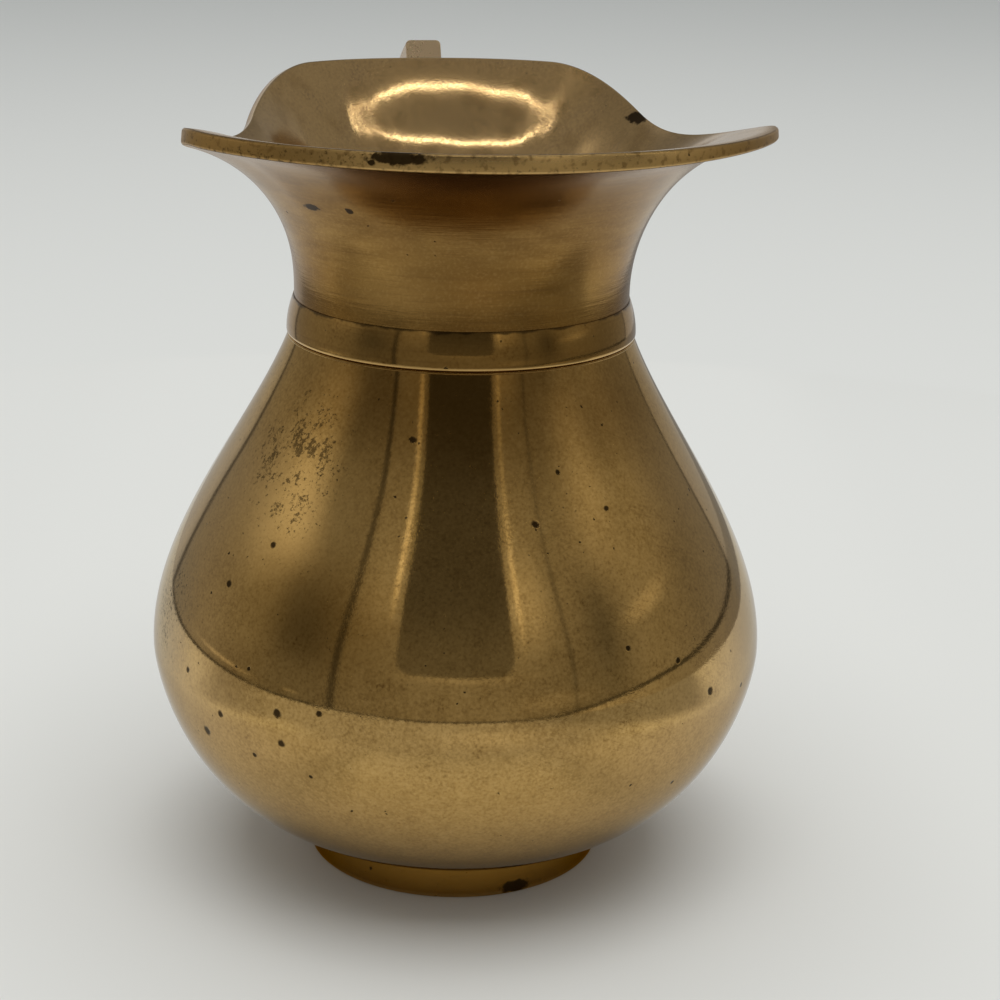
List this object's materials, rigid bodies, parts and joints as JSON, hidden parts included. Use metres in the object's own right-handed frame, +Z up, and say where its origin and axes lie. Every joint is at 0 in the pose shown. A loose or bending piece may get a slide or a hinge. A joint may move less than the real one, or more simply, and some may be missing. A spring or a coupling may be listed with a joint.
{
  "type": "brass pitcher",
  "caption": "Pear-shaped brass pitcher on a ring foot, with a collared neck, a wide pouring lip folded up into a tall tongue at the back, and a strap handle.",
  "frame": {"origin": "on the table under the middle of the whole outline", "axes": "+Z up along the pitcher's axis, the handle towards +Y and the pouring lip towards -Y"},
  "size_m": [0.09, 0.104, 0.1172],
  "materials": {
    "bowl_brass": "aged polish, fine pits and scratches",
    "neck_brass": "satin, turning lines, brown tarnish",
    "collar_brass": "polished",
    "foot_brass": "turned, more orange than the bowl",
    "handle_brass": "satin, as cast and filed"
  },
  "bodies": {
    "root": {"body_bowl": "bowl_brass", "neck_mouth": "neck_brass", "collar_band": "collar_brass", "foot_ring": "foot_brass", "handle": "handle_brass"}
  },
  "joints": []
}
